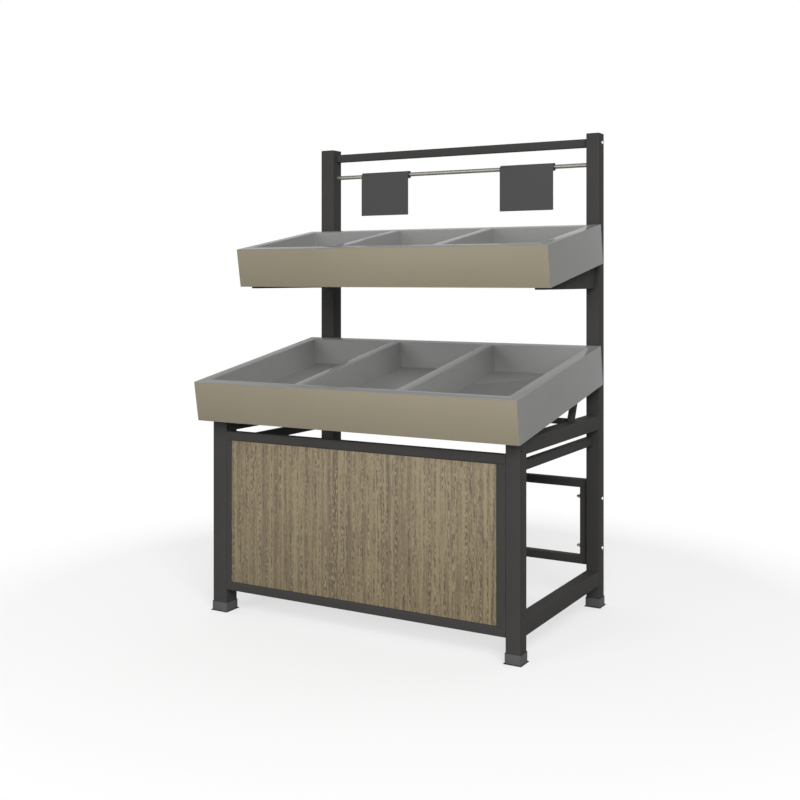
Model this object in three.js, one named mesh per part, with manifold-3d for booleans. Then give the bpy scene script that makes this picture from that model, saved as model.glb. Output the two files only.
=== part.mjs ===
// Produce display rack: a square-tube frame on four boots that carries two sloping trays of three
// compartments each, a wood front panel, an open rear frame, and a rod with two hinged price plates.
// Lengths are in millimetres. X runs to the right, Y to the rear and Z up. The origin lies on the
// floor, under the middle of the rack's bounding box.

import * as THREE from "three";
import { mergeVertices } from "three/addons/utils/BufferGeometryUtils.js";
import Module from "manifold-3d";

const wasm = await Module();
wasm.setup();

// Frame, outside measures
const frameWidth = 1200;
const frameDepth = 757;
const frontLegTop = 695;
const rearPostTop = 1717;

// Tubes of the two side frames: the left one is the heavier
const leftTubeSize = 60;
const rightTubeSize = 50;
const upperRailHeight = 50;
const lowerRailHeight = 50;
const lowerRailBottom = 81;
const innerRailWidth = 25;
const innerRailHeight = 31;
const innerRailDrop = 78;
const postWall = 2;
const postRadius = 2.5;

// Slim tubes of the front panel's frame, the rear frame and the top rail
const slimSize = 30;
const slimWall = 1.5;
const slimRadius = 2;
const panelFrameDrop = 49;
const panelFrameBottom = 80;
const leftStileWidth = 20;
const rightStileWidth = 30;
const rearFrameBottom = 147;
const rearFrameHeight = 310;
const rearFrameInset = 4.5;
const topRailDrop = 15;
const topRailEndPlate = 6;

// Wood panel and the dark strip's rebate round its face
const panelThickness = 16;
const panelRecess = 2;
const panelRebateWidth = 6;
const panelRebateDepth = 2;

// Boots under the posts and caps on the rear posts
const bootHeight = 33;
const bootWall = 2;
const bootSole = 3;
const bootFlangeReach = 5.7;
const bootLip = 1;
const bootFlangeHeight = 4;
const capRim = 1.5;
const capHeadHeight = 3;
const capPlugLength = 14;

// Trays
const trayTilt = THREE.MathUtils.degToRad(9.67);
const traySideOverhang = 23;
const trayHeight = 141.5;
const trayRimWidth = 43;
const dividerWidth = 40;
const compartmentDepth = 98;
const compartmentCount = 3;
const traySheet = 1.5;
const trayBaseThickness = 2;
const fasciaThickness = 3;
const trayRearGap = 12.5;
const lowerTrayOverhang = 56;
const upperTrayOverhang = 19.5;

// What carries the trays: the brackets of the upper one, the struts and the beam of the lower one
const bracketReach = 550;
const bracketBottom = 1155;
const bracketTipHeight = 9;
const bracketWidth = 25;
const bracketInset = 15;
const bracketSheet = 2;
const strutSetback = 502;
const strutWidth = 20;
const strutDepth = 25;
const strutWall = 1.5;
const strutRadius = 2;
const strutLean = THREE.MathUtils.degToRad(25);
const beamSize = 20;
const beamRise = 9;

// Bolts and cap nuts
const boltRadius = 4;
const boltHeadRadius = 6;
const boltHeadHeight = 4;
const boltHeadEdge = 1.5;
const frameBoltInset = 35;
const nutFlangeRadius = 9;
const nutFlangeThickness = 2.5;
const nutShoulderRadius = 7.5;
const nutTipRadius = 4;
const nutLength = 15;
const nutTipRound = 2;
const nutBoreDepth = 10;
const boltEngagement = 9;
const panelHoleRadius = 4.25;
const panelHoleSetback = 10;
const panelHoleDrop = 37;

// Price rod, its sockets and the two plates that hang on it
const rodRadius = 8;
const rodDrop = 110;
const rodRearInset = 24.5;
const socketFlangeRadius = 10;
const socketFlangeThickness = 1.5;
const socketRadius = 9.4;
const socketLength = 6;
const socketBottom = 2;
const plateWidth = 217;
const plateInset = 183;
const plateHeight = 175;
const plateSheet = 2;
const plateEyeRadius = 14.5;

// Clearances
const seam = 0.1;
const clearance = 0.3;
const overrun = 5;

// Fineness of the round stretches
const cornerSteps = 3;
const roundSteps = 24;
const eyeSteps = 32;
const boreSteps = 16;
const frustumSides = 4;

// Places that several pieces share
const frontFace = -frameDepth / 2;
const rearFace = frameDepth / 2;
const quarterTurn = Math.PI / 2;
const trayWidth = frameWidth + 2 * traySideOverhang;
const panelWidth = frameWidth - leftTubeSize - rightTubeSize - leftStileWidth - rightStileWidth;
const plateSpacing = frameWidth - 2 * (plateInset + plateWidth);
const rearFrameY = rearFace - rearFrameInset - slimSize / 2;
const rodY = rearFace - rodRearInset;
const rodZ = rearPostTop - rodDrop;
const strutFoot = frontFace + strutSetback;
const bracketTip = rearFace - bracketReach;
const thickestTube = Math.max(leftTubeSize, rightTubeSize);

const sides = [
  { name: "left", towards: -1, tube: leftTubeSize },
  { name: "right", towards: 1, tube: rightTubeSize },
];
const [leftSide, rightSide] = sides;

// The plane under each tray, through the point where the tray rests at its front
const lowerTrayRest = { y: frontFace, z: frontLegTop + clearance };
const upperTrayRest = { y: bracketTip, z: bracketBottom + bracketTipHeight + clearance };
const heightUnder = (rest, y) => rest.z + (y - rest.y) * Math.tan(trayTilt);

function material(color, roughness, metalness) {
  return new THREE.MeshStandardMaterial({ color, roughness, metalness });
}

const framePaint = material(0x424140, 0.55, 0.1);
const trayPaint = material(0x9a9a98, 0.35, 0.1);
const fasciaPaint = material(0x928c79, 0.5, 0);
const basePaint = material(0x77777a, 0.6, 0.1);
const wood = material(0x83765f, 0.65, 0);
const chrome = material(0xc8c8c8, 0.12, 1);
const zinc = material(0xe0e0dc, 0.35, 0.9);
const greyPlastic = material(0x585858, 0.6, 0);
const blackPlastic = material(0x2c2c2c, 0.6, 0);
const plateGrey = material(0x4e4e4e, 0.5, 0);

const rack = new THREE.Group();

// Adds a named piece to a group, at a place and with a turn of its own
const noTurn = new THREE.Euler();
function addPiece(group, name, geometry, finish, place = new THREE.Vector3(), turn = noTurn) {
  const mesh = new THREE.Mesh(geometry, finish);
  mesh.name = name;
  mesh.position.copy(place);
  mesh.rotation.copy(turn);
  group.add(mesh);
}

// Closed solid of a geometry, for joining and cutting
function solidOf(geometry) {
  const bare = geometry.clone();
  bare.deleteAttribute("normal");
  bare.deleteAttribute("uv");
  const merged = mergeVertices(bare);
  return new wasm.Manifold(
    new wasm.Mesh({
      numProp: 3,
      vertProperties: new Float32Array(merged.attributes.position.array),
      triVerts: new Uint32Array(merged.index.array),
    }),
  );
}

// Geometry of a solid
function geometryOf(solid) {
  const { vertProperties, triVerts } = solid.getMesh();
  const geometry = new THREE.BufferGeometry();
  geometry.setAttribute("position", new THREE.BufferAttribute(vertProperties, 3));
  geometry.setIndex(new THREE.BufferAttribute(triVerts, 1));
  geometry.computeVertexNormals();
  return geometry;
}

const cut = (body, ...tools) =>
  geometryOf(tools.reduce((solid, tool) => solid.subtract(solidOf(tool)), solidOf(body)));

const join = (body, ...others) =>
  geometryOf(others.reduce((solid, other) => solid.add(solidOf(other)), solidOf(body)));

const common = (body, other) => geometryOf(solidOf(body).intersect(solidOf(other)));

// Box from its low and high corners, each [x, y, z]
function block(low, high) {
  const box = new THREE.Box3(new THREE.Vector3(...low), new THREE.Vector3(...high));
  const size = box.getSize(new THREE.Vector3());
  const centre = box.getCenter(new THREE.Vector3());
  return new THREE.BoxGeometry(size.x, size.y, size.z).translate(centre.x, centre.y, centre.z);
}

// Rectangle with round corners about the origin, as a shape or as a hole's path
function roundedRectangle(Outline, width, height, radius) {
  const x = width / 2 - radius;
  const y = height / 2 - radius;
  const outline = new Outline();
  outline.absarc(x, -y, radius, -quarterTurn, 0);
  outline.absarc(x, y, radius, 0, quarterTurn);
  outline.absarc(-x, y, radius, quarterTurn, 2 * quarterTurn);
  outline.absarc(-x, -y, radius, 2 * quarterTurn, 3 * quarterTurn);
  return outline;
}

// Extrusion of a shape from z = 0 up
function extrudeUp(shape, length) {
  return new THREE.ExtrudeGeometry(shape, {
    depth: length,
    bevelEnabled: false,
    curveSegments: cornerSteps,
  });
}

// Extrusion along Z, centred on the origin
const extrudeCentred = (shape, length) => extrudeUp(shape, length).translate(0, 0, -length / 2);

// Square column with round long edges, from z = 0 up
const roundedColumn = (size, radius, height) =>
  extrudeUp(roundedRectangle(THREE.Shape, size, size, radius), height);

// Square frustum from z = 0 up
function frustum(bottomSize, topSize, height) {
  return new THREE.CylinderGeometry(topSize / Math.SQRT2, bottomSize / Math.SQRT2, height, frustumSides)
    .rotateY(quarterTurn / 2)
    .rotateX(quarterTurn)
    .translate(0, 0, height / 2);
}

// Turns that lay a piece made along Z along another axis, keeping the order of its other two axes
const unitX = new THREE.Vector3(1, 0, 0);
const unitY = new THREE.Vector3(0, 1, 0);
const unitZ = new THREE.Vector3(0, 0, 1);
const layAlong = {
  x: new THREE.Matrix4().makeBasis(unitY, unitZ, unitX),
  y: new THREE.Matrix4().makeBasis(unitZ, unitX, unitY),
  z: new THREE.Matrix4(),
};
const acrossOf = { x: ["y", "z"], y: ["z", "x"], z: ["x", "y"] };

// Tube section: a rounded rectangle with a rounded hole
function tubeSection(width, height, wall, radius) {
  const section = roundedRectangle(THREE.Shape, width, height, radius);
  const inner = Math.max(radius - wall, radius / 4);
  section.holes.push(roundedRectangle(THREE.Path, width - 2 * wall, height - 2 * wall, inner));
  return section;
}

// Adds an open-ended tube that fills the box from low to high, with holes drilled where asked
function addTube(name, low, high, along, wall, radius, holes = []) {
  const box = new THREE.Box3(new THREE.Vector3(...low), new THREE.Vector3(...high));
  const size = box.getSize(new THREE.Vector3());
  const centre = box.getCenter(new THREE.Vector3());
  const [first, second] = acrossOf[along];
  const section = tubeSection(size[first], size[second], wall, radius);
  const tube = extrudeCentred(section, size[along]).applyMatrix4(layAlong[along]);
  const drills = holes.map((hole) => drillX(hole.radius, hole.y - centre.y, hole.z - centre.z, size.x));
  addPiece(rack, name, drills.length ? cut(tube, ...drills) : tube, framePaint, centre);
}

// Drill along X through a piece of the given width that stands about x = 0
function drillX(radius, y, z, width) {
  const drill = new THREE.CylinderGeometry(radius, radius, width + 2 * overrun, boreSteps);
  return drill.rotateZ(quarterTurn).translate(0, y, z);
}

// X range between two distances in from a side's outer face, low end first
function inFrom(side, near, far) {
  const ends = [side.towards * (frameWidth / 2 - near), side.towards * (frameWidth / 2 - far)];
  return ends.sort((a, b) => a - b);
}

// Inner face of a side's tubes
const innerFace = (side) => side.towards * (frameWidth / 2 - side.tube);

// Holes for the bolts that come in from a side's outer face
const boltHoleRadius = boltRadius + clearance;
const frameBoltHeights = [
  rearFrameBottom + slimSize + frameBoltInset,
  rearFrameBottom + rearFrameHeight - slimSize - frameBoltInset,
];
const topRailZ = rearPostTop - topRailDrop - slimSize / 2;
const boltHole = (z) => ({ radius: boltHoleRadius, y: rearFrameY, z });

// Side frame: leg, post and the three rails between them
function addSideFrame(side) {
  const [x0, x1] = inFrom(side, 0, side.tube);
  const legRear = frontFace + side.tube;
  const postFront = rearFace - side.tube;
  const foot = bootSole + seam;
  const panelHole = {
    radius: panelHoleRadius,
    y: frontFace + panelHoleSetback,
    z: frontLegTop - panelHoleDrop,
  };
  const postHoles = [...frameBoltHeights, topRailZ].map(boltHole);
  const legTop = [x1, legRear, frontLegTop];
  const postTop = [x1, rearFace, rearPostTop];
  addTube(`${side.name}_front_leg`, [x0, frontFace, foot], legTop, "z", postWall, postRadius, [panelHole]);
  addTube(`${side.name}_rear_post`, [x0, postFront, foot], postTop, "z", postWall, postRadius, postHoles);

  const railRun = [legRear + seam, postFront - seam];
  const addRail = (name, [low, high], bottom, top, wall, radius) =>
    addTube(name, [low, railRun[0], bottom], [high, railRun[1], top], "y", wall, radius);
  const upperRailBottom = frontLegTop - upperRailHeight;
  const lowerRailTop = lowerRailBottom + lowerRailHeight;
  addRail(`${side.name}_upper_rail`, [x0, x1], upperRailBottom, frontLegTop, postWall, postRadius);
  addRail(`${side.name}_lower_rail`, [x0, x1], lowerRailBottom, lowerRailTop, postWall, postRadius);

  const innerRun = inFrom(side, side.tube - innerRailWidth, side.tube);
  const innerTop = frontLegTop - innerRailDrop;
  addRail(`${side.name}_inner_rail`, innerRun, innerTop - innerRailHeight, innerTop, slimWall, slimRadius);
}

// Boot: a sleeve with a sole, and a flange that tapers from the floor up to the sleeve
function bootGeometry(tube) {
  const pocket = tube + 2 * clearance;
  const sleeve = pocket + 2 * bootWall;
  const flange = tube + 2 * bootFlangeReach;
  const body = roundedColumn(sleeve, postRadius, bootHeight);
  const lip = block([-flange / 2, -flange / 2, 0], [flange / 2, flange / 2, bootLip]);
  const taper = frustum(flange, sleeve, bootFlangeHeight - bootLip).translate(0, 0, bootLip);
  const hollow = roundedColumn(pocket, postRadius, bootHeight).translate(0, 0, bootSole);
  return cut(join(body, lip, taper), hollow);
}

// Cap: a low head with sloping edges on a hollow plug that fits the post's bore
function capGeometry(tube) {
  const bore = tube - 2 * postWall;
  const plug = bore - 2 * clearance;
  const head = roundedColumn(tube, postRadius, capHeadHeight);
  const sloped = join(
    block([-tube / 2, -tube / 2, 0], [tube / 2, tube / 2, capRim]),
    frustum(tube, bore, capHeadHeight - capRim).translate(0, 0, capRim),
  );
  const stem = roundedColumn(plug, postRadius, capPlugLength + capRim).translate(0, 0, -capPlugLength);
  const core = plug - 2 * postWall;
  const hollow = roundedColumn(core, postRadius - postWall, capPlugLength).translate(0, 0, -capPlugLength);
  return cut(join(common(head, sloped), stem), hollow);
}

function addBootsAndCap(side) {
  const x = side.towards * (frameWidth / 2 - side.tube / 2);
  const postY = rearFace - side.tube / 2;
  const boot = bootGeometry(side.tube);
  const legPlace = new THREE.Vector3(x, frontFace + side.tube / 2, 0);
  addPiece(rack, `${side.name}_front_boot`, boot, greyPlastic, legPlace);
  addPiece(rack, `${side.name}_rear_boot`, boot.clone(), greyPlastic, new THREE.Vector3(x, postY, 0));
  const capPlace = new THREE.Vector3(x, postY, rearPostTop + seam);
  addPiece(rack, `${side.name}_post_cap`, capGeometry(side.tube), blackPlastic, capPlace);
}

// Rectangle of slim tubes between the two sides: two rails, and a stile at each end
function addSlimFrame(prefix, y0, bottom, top, stileWidth, holes = []) {
  const run = [innerFace(leftSide) + seam, innerFace(rightSide) - seam];
  const y1 = y0 + slimSize;
  const addRail = (name, z0, z1) =>
    addTube(name, [run[0], y0, z0], [run[1], y1, z1], "x", slimWall, slimRadius);
  addRail(`${prefix}_bottom_rail`, bottom, bottom + slimSize);
  addRail(`${prefix}_top_rail`, top - slimSize, top);
  for (const side of sides) {
    const [x0, x1] = inFrom(side, side.tube + seam, side.tube + stileWidth(side));
    const low = [x0, y0, bottom + slimSize + seam];
    const high = [x1, y1, top - slimSize - seam];
    addTube(`${prefix}_${side.name}_stile`, low, high, "z", slimWall, slimRadius, holes);
  }
}

// Wood panel in its frame, which lies flush with the fronts of the legs
function addFrontPanel() {
  const bottom = panelFrameBottom;
  const top = frontLegTop - panelFrameDrop;
  const stileWidths = { left: leftStileWidth, right: rightStileWidth };
  addSlimFrame("panel", frontFace, bottom, top, (side) => stileWidths[side.name]);
  const x0 = innerFace(leftSide) + leftStileWidth + clearance;
  const x1 = x0 + panelWidth - 2 * clearance;
  const z0 = bottom + slimSize + seam;
  const z1 = top - slimSize - clearance;
  const face = frontFace + panelRecess;
  const back = face + panelThickness;
  const board = block([x0, face + panelRebateDepth, z0], [x1, back, z1]);
  const raised = block(
    [x0 + panelRebateWidth, face, z0 + panelRebateWidth],
    [x1 - panelRebateWidth, back, z1 - panelRebateWidth],
  );
  addPiece(rack, "wood_panel", join(board, raised), wood);
}

// Open frame low between the rear posts
function addRearFrame() {
  const top = rearFrameBottom + rearFrameHeight;
  const holes = frameBoltHeights.map(boltHole);
  addSlimFrame("rear_frame", rearFrameY - slimSize / 2, rearFrameBottom, top, () => slimSize, holes);
}

// Rail between the post tops, with a drilled plate welded into each end
function addTopRail() {
  const x0 = innerFace(leftSide) + seam;
  const x1 = innerFace(rightSide) - seam;
  const centre = new THREE.Vector3((x0 + x1) / 2, rearFrameY, topRailZ);
  const length = x1 - x0;
  const tube = extrudeCentred(tubeSection(slimSize, slimSize, slimWall, slimRadius), length);
  const plate = roundedColumn(slimSize - slimWall, slimRadius - slimWall / 2, topRailEndPlate);
  const farPlate = plate.clone().translate(0, 0, length / 2 - topRailEndPlate);
  const closed = join(tube, plate.translate(0, 0, -length / 2), farPlate).applyMatrix4(layAlong.x);
  const drill = drillX(boltHoleRadius, 0, 0, length);
  addPiece(rack, "top_rail", cut(closed, drill), framePaint, centre);
}

// Solid of revolution about Y from [radius, height] points
function turned(points, steps) {
  return new THREE.LatheGeometry(
    points.map(([radius, height]) => new THREE.Vector2(radius, height)),
    steps,
  );
}

// Points of a quarter-round from the side at [radius, low] to the axis at the top
function domePoints(radius, low, high, steps) {
  return Array.from({ length: steps + 1 }, (_, i) => {
    const angle = (quarterTurn * i) / steps;
    return i === steps ? [0, high] : [radius * Math.cos(angle), low + (high - low) * Math.sin(angle)];
  });
}

// Bolt along Y: the shank below zero, the domed head above it
function boltGeometry(length) {
  return turned(
    [
      [0, -length],
      [boltRadius, -length],
      [boltRadius, 0],
      [boltHeadRadius, 0],
      ...domePoints(boltHeadRadius, boltHeadEdge, boltHeadHeight, cornerSteps),
    ],
    roundSteps,
  );
}

// Cap nut along Y: a flange, then a shoulder that narrows to a round tip, over a blind bore
function nutGeometry() {
  return turned(
    [
      [0, nutBoreDepth],
      [boltHoleRadius, nutBoreDepth],
      [boltHoleRadius, 0],
      [nutFlangeRadius, 0],
      [nutFlangeRadius, nutFlangeThickness],
      [nutShoulderRadius, nutFlangeThickness],
      ...domePoints(nutTipRadius, nutLength - nutTipRound, nutLength, cornerSteps),
    ],
    roundSteps,
  );
}

// Bolts of one side: two through the post and the rear frame's stile, one into the top rail
function addBolts(side) {
  const outward = new THREE.Euler(0, 0, -side.towards * quarterTurn);
  const inward = new THREE.Euler(0, 0, side.towards * quarterTurn);
  const outerX = side.towards * (frameWidth / 2 + seam);
  const nutX = innerFace(side) - side.towards * (slimSize + seam);
  const frameBoltLength = side.tube + slimSize + 2 * seam + boltEngagement;
  frameBoltHeights.forEach((z, i) => {
    const level = i === 0 ? "lower" : "upper";
    const head = new THREE.Vector3(outerX, rearFrameY, z);
    addPiece(rack, `${side.name}_${level}_frame_bolt`, boltGeometry(frameBoltLength), zinc, head, outward);
    const tip = new THREE.Vector3(nutX, rearFrameY, z);
    addPiece(rack, `${side.name}_${level}_cap_nut`, nutGeometry(), zinc, tip, inward);
  });
  const topBolt = boltGeometry(side.tube + topRailEndPlate + boltEngagement);
  const topHead = new THREE.Vector3(outerX, rearFrameY, topRailZ);
  addPiece(rack, `${side.name}_top_rail_bolt`, topBolt, zinc, topHead, outward);
}

// Extrusion along X of an outline of [y, z] points, over an X range
function slabX(points, [x0, x1]) {
  const shape = new THREE.Shape(points.map(([y, z]) => new THREE.Vector2(y, z)));
  const slab = extrudeCentred(shape, x1 - x0).applyMatrix4(layAlong.x);
  return slab.translate((x0 + x1) / 2, 0, 0);
}

// Strut that leans back from the upper rail to the lower tray, cut to both
function addStrut(side) {
  const foot = frontLegTop + seam;
  const near = side.tube - innerRailWidth;
  const run = inFrom(side, near, near + strutWidth);
  const length = (heightUnder(lowerTrayRest, rearFace) - frontLegTop) / Math.cos(strutLean);
  const leaning = extrudeCentred(tubeSection(strutWidth, strutDepth, strutWall, strutRadius), 2 * length)
    .translate(0, strutDepth / 2, 0)
    .rotateX(-strutLean)
    .translate((run[0] + run[1]) / 2, strutFoot, foot);
  const room = slabX(
    [
      [strutFoot, foot],
      [rearFace, foot],
      [rearFace, heightUnder(lowerTrayRest, rearFace) - clearance],
      [strutFoot, heightUnder(lowerTrayRest, strutFoot) - clearance],
    ],
    [run[0] - overrun, run[1] + overrun],
  );
  addPiece(rack, `${side.name}_tray_strut`, common(leaning, room), framePaint);
}

// Wedge of folded sheet under the upper tray, open where it meets the post
function addBracket(side) {
  const run = inFrom(side, bracketInset, bracketInset + bracketWidth);
  const root = rearFace - side.tube - seam;
  const under = (y) => heightUnder(upperTrayRest, y) - clearance;
  const outer = slabX(
    [
      [bracketTip, bracketBottom],
      [root, bracketBottom],
      [root, under(root)],
      [bracketTip, under(bracketTip)],
    ],
    run,
  );
  const tip = bracketTip + bracketSheet;
  const mouth = root + overrun;
  const inner = slabX(
    [
      [tip, bracketBottom + bracketSheet],
      [mouth, bracketBottom + bracketSheet],
      [mouth, under(mouth) - bracketSheet],
      [tip, under(tip) - bracketSheet],
    ],
    [run[0] + bracketSheet, run[1] - bracketSheet],
  );
  addPiece(rack, `${side.name}_tray_bracket`, cut(outer, inner), framePaint);
}

// Beam between the two side frames, at the feet of the struts
function addCrossBeam() {
  const x0 = innerFace(leftSide) + seam;
  const x1 = innerFace(rightSide) - seam;
  const top = frontLegTop + beamRise;
  addTube(
    "tray_cross_beam",
    [x0, strutFoot, top - beamSize],
    [x1, strutFoot + beamSize, top],
    "x",
    strutWall,
    strutRadius,
  );
}

// Tray in its own tilted group: Y runs up the slope from its front face, Z is square to the slope
function addTray(name, rest, overhang) {
  const rearEdge = rearFace - thickestTube - trayRearGap;
  const length = (rearEdge - rest.y) / Math.cos(trayTilt) + overhang;
  const tilted = new THREE.Group();
  tilted.position.set(0, rest.y, rest.z);
  tilted.rotation.x = trayTilt;
  const tray = new THREE.Group();
  tray.position.y = -overhang;
  tilted.add(tray);
  rack.add(tilted);

  const x = trayWidth / 2;
  const skin = fasciaThickness + clearance;
  const floor = trayHeight - compartmentDepth;
  const shellBody = join(
    block([-x, skin, 0], [x, length, trayHeight]),
    block([-x, 0, trayHeight - traySheet], [x, length, trayHeight]),
  );
  const basin = block(
    [-x + trayRimWidth, trayRimWidth, floor],
    [x - trayRimWidth, length - trayRimWidth, trayHeight + overrun],
  );
  const basinSkin = block(
    [-x + trayRimWidth - traySheet, trayRimWidth - traySheet, floor - traySheet],
    [x - trayRimWidth + traySheet, length - trayRimWidth + traySheet, trayHeight + overrun],
  );
  const underside = block(
    [-x + traySheet, skin + traySheet, -overrun],
    [x - traySheet, length - traySheet, trayHeight - traySheet],
  );
  const shell = cut(shellBody, cut(underside, basinSkin), basin);
  addPiece(tray, `${name}_shell`, shell, trayPaint);

  const fascia = block([-x, 0, 0], [x, fasciaThickness, trayHeight - traySheet - clearance]);
  addPiece(tray, `${name}_fascia`, fascia, fasciaPaint);

  const inset = traySheet + clearance;
  const base = block([-x + inset, skin + inset, 0], [x - inset, length - inset, trayBaseThickness]);
  addPiece(tray, `${name}_base`, base, basePaint);

  const run = trayWidth - 2 * trayRimWidth + dividerWidth;
  const pitch = run / compartmentCount;
  for (let i = 1; i < compartmentCount; i += 1) {
    const centre = i * pitch - run / 2;
    const half = dividerWidth / 2;
    const front = trayRimWidth + clearance;
    const channel = cut(
      block([-half, front, floor + clearance], [half, length - front, trayHeight]),
      block([-half + traySheet, 0, 0], [half - traySheet, length, trayHeight - traySheet]),
    );
    addPiece(tray, `${name}_divider_${i}`, channel, trayPaint, new THREE.Vector3(centre, 0, 0));
  }
}

// Chrome rod between the rear posts, with a socket on each post
function addRod() {
  const x0 = innerFace(leftSide) + seam + socketBottom + seam;
  const x1 = innerFace(rightSide) - seam - socketBottom - seam;
  const rod = new THREE.CylinderGeometry(rodRadius, rodRadius, x1 - x0, roundSteps).rotateZ(quarterTurn);
  addPiece(rack, "price_rod", rod, chrome, new THREE.Vector3((x0 + x1) / 2, rodY, rodZ));
  const socket = turned(
    [
      [0, 0],
      [socketFlangeRadius, 0],
      [socketFlangeRadius, socketFlangeThickness],
      [socketRadius, socketFlangeThickness],
      [socketRadius, socketLength],
      [rodRadius + clearance, socketLength],
      [rodRadius + clearance, socketBottom],
      [0, socketBottom],
    ],
    roundSteps,
  );
  for (const side of sides) {
    const place = new THREE.Vector3(innerFace(side) - side.towards * seam, rodY, rodZ);
    const turn = new THREE.Euler(0, 0, side.towards * quarterTurn);
    addPiece(rack, `${side.name}_rod_socket`, socket.clone(), chrome, place, turn);
  }
}

// Points of an arc about the origin, from one angle to another
function arcPoints(radius, from, to) {
  return Array.from({ length: eyeSteps + 1 }, (_, i) => {
    const angle = from + ((to - from) * i) / eyeSteps;
    return new THREE.Vector2(radius * Math.cos(angle), radius * Math.sin(angle));
  });
}

const circlePoints = (radius) => arcPoints(radius, 0, 2 * Math.PI).slice(0, -1);

// Price plate: a sheet whose top is rolled into an eye, here as its section in [y, z]
function plateSection() {
  const rear = -plateEyeRadius + plateSheet;
  const meeting = Math.acos(rear / plateEyeRadius);
  const foot = plateEyeRadius - plateHeight;
  const section = new THREE.Shape([
    new THREE.Vector2(rear, foot),
    new THREE.Vector2(-plateEyeRadius, foot),
    ...arcPoints(plateEyeRadius, Math.PI, -meeting),
  ]);
  section.holes.push(new THREE.Path(circlePoints(plateEyeRadius - plateSheet)));
  return section;
}

// Bush that slides on the rod inside the plate's eye
function bushSection() {
  const section = new THREE.Shape(circlePoints(plateEyeRadius - plateSheet - clearance));
  section.holes.push(new THREE.Path(circlePoints(rodRadius + clearance)));
  return section;
}

function addPricePlates() {
  for (const side of sides) {
    const x = (side.towards * (plateSpacing + plateWidth)) / 2;
    const place = new THREE.Vector3(x, rodY, rodZ);
    const plate = extrudeCentred(plateSection(), plateWidth).applyMatrix4(layAlong.x);
    const bush = extrudeCentred(bushSection(), plateWidth).applyMatrix4(layAlong.x);
    addPiece(rack, `${side.name}_price_plate`, plate, plateGrey, place);
    addPiece(rack, `${side.name}_plate_bush`, bush, blackPlastic, place);
  }
}

for (const side of sides) {
  addSideFrame(side);
  addBootsAndCap(side);
  addBolts(side);
  addStrut(side);
  addBracket(side);
}
addFrontPanel();
addRearFrame();
addTopRail();
addCrossBeam();
addRod();
addPricePlates();
addTray("lower_tray", lowerTrayRest, lowerTrayOverhang);
addTray("upper_tray", upperTrayRest, upperTrayOverhang);

// The lower tray's top front edge reaches furthest forward, the rear boots' flanges furthest back
const foremost =
  lowerTrayRest.y - lowerTrayOverhang * Math.cos(trayTilt) - trayHeight * Math.sin(trayTilt);
const rearmost = rearFace + bootFlangeReach;
rack.position.y = -(foremost + rearmost) / 2;

const part = new THREE.Group();
part.add(rack);
export default part;
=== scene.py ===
"""Produce display rack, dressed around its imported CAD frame.

A square-tube frame on four boots carries two sloping trays of three compartments each, a wood
front panel, an open rear frame, and a chrome rod with two hinged price plates. Lengths are in
metres, in the frame of the CAD: X to the right, Y to the rear and Z up.
"""

from __future__ import annotations

import logging
import math
from contextlib import contextmanager
from dataclasses import dataclass
from enum import Enum
from typing import Any, Callable, Iterator, Mapping, Sequence

import bmesh
import bpy
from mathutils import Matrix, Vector


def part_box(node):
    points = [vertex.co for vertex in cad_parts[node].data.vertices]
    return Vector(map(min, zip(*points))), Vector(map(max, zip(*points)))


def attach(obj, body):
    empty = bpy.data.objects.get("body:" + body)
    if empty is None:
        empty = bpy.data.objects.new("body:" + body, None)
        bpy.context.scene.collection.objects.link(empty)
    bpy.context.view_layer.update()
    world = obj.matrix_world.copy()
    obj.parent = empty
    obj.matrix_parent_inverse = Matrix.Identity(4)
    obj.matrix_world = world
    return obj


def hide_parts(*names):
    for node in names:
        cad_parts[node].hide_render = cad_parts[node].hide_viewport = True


LOG = logging.getLogger("rack")

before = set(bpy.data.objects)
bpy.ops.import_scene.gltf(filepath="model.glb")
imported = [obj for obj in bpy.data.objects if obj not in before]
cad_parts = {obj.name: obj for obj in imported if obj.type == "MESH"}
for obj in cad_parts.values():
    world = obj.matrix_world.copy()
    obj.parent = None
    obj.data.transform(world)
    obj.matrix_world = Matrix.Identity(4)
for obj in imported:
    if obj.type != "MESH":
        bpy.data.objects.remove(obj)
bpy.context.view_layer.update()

Number = float
Point = Sequence[Number]
Outline = list[tuple[Number, Number]]
Step = tuple[Number, Number]
Test = Callable[[Vector, Vector], bool]
Values = Mapping[int | str, Any]

# Limits within which places, directions and faces count as the same
NEAR = 1e-5
CENTRED = 5e-4
FLAT = 0.01
ONE_PLANE = math.radians(0.5)
NEARLY_ONE = 0.99

# Facets across an edge, from a plain chamfer to a full round
CHAMFER, CRISP, SOFT, ROUND = 1, 2, 3, 4

# Edges flatter than this shade smoothly
SMOOTH_ANGLE = math.radians(32)

# Sizes that several sub-assemblies share, and each side's outward direction along X
TRAY_TILT = math.radians(9.67)
CLEARANCE = 0.0003
SIDES = {"left": -1.0, "right": 1.0}
FRAME_BODY = "frame"
WHITE = (1.0, 1.0, 1.0, 1.0)


class Axis(Enum):
    """The axes of the row frame, by their place in a vector."""

    X = 0
    Y = 1
    Z = 2

    @property
    def unit(self) -> Vector:
        """Unit vector along the axis."""
        return Vector([float(i == self.value) for i in range(3)])


class Kind(Enum):
    """Mesh elements that an editing step works on, as switches for points, edges and faces."""

    EDGES = (False, True, False)
    FACES = (False, False, True)


class Closing(Enum):
    """How a turned piece is closed: flat discs at its two ends, or a ring with a bore."""

    DISCS = "discs"
    RING = "ring"


# Tests that pick faces and edges


def runs_along(axis: Axis) -> Test:
    """Edges that run along an axis."""
    return lambda a, b: abs((b - a).normalized()[axis.value]) > NEARLY_ONE


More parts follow.
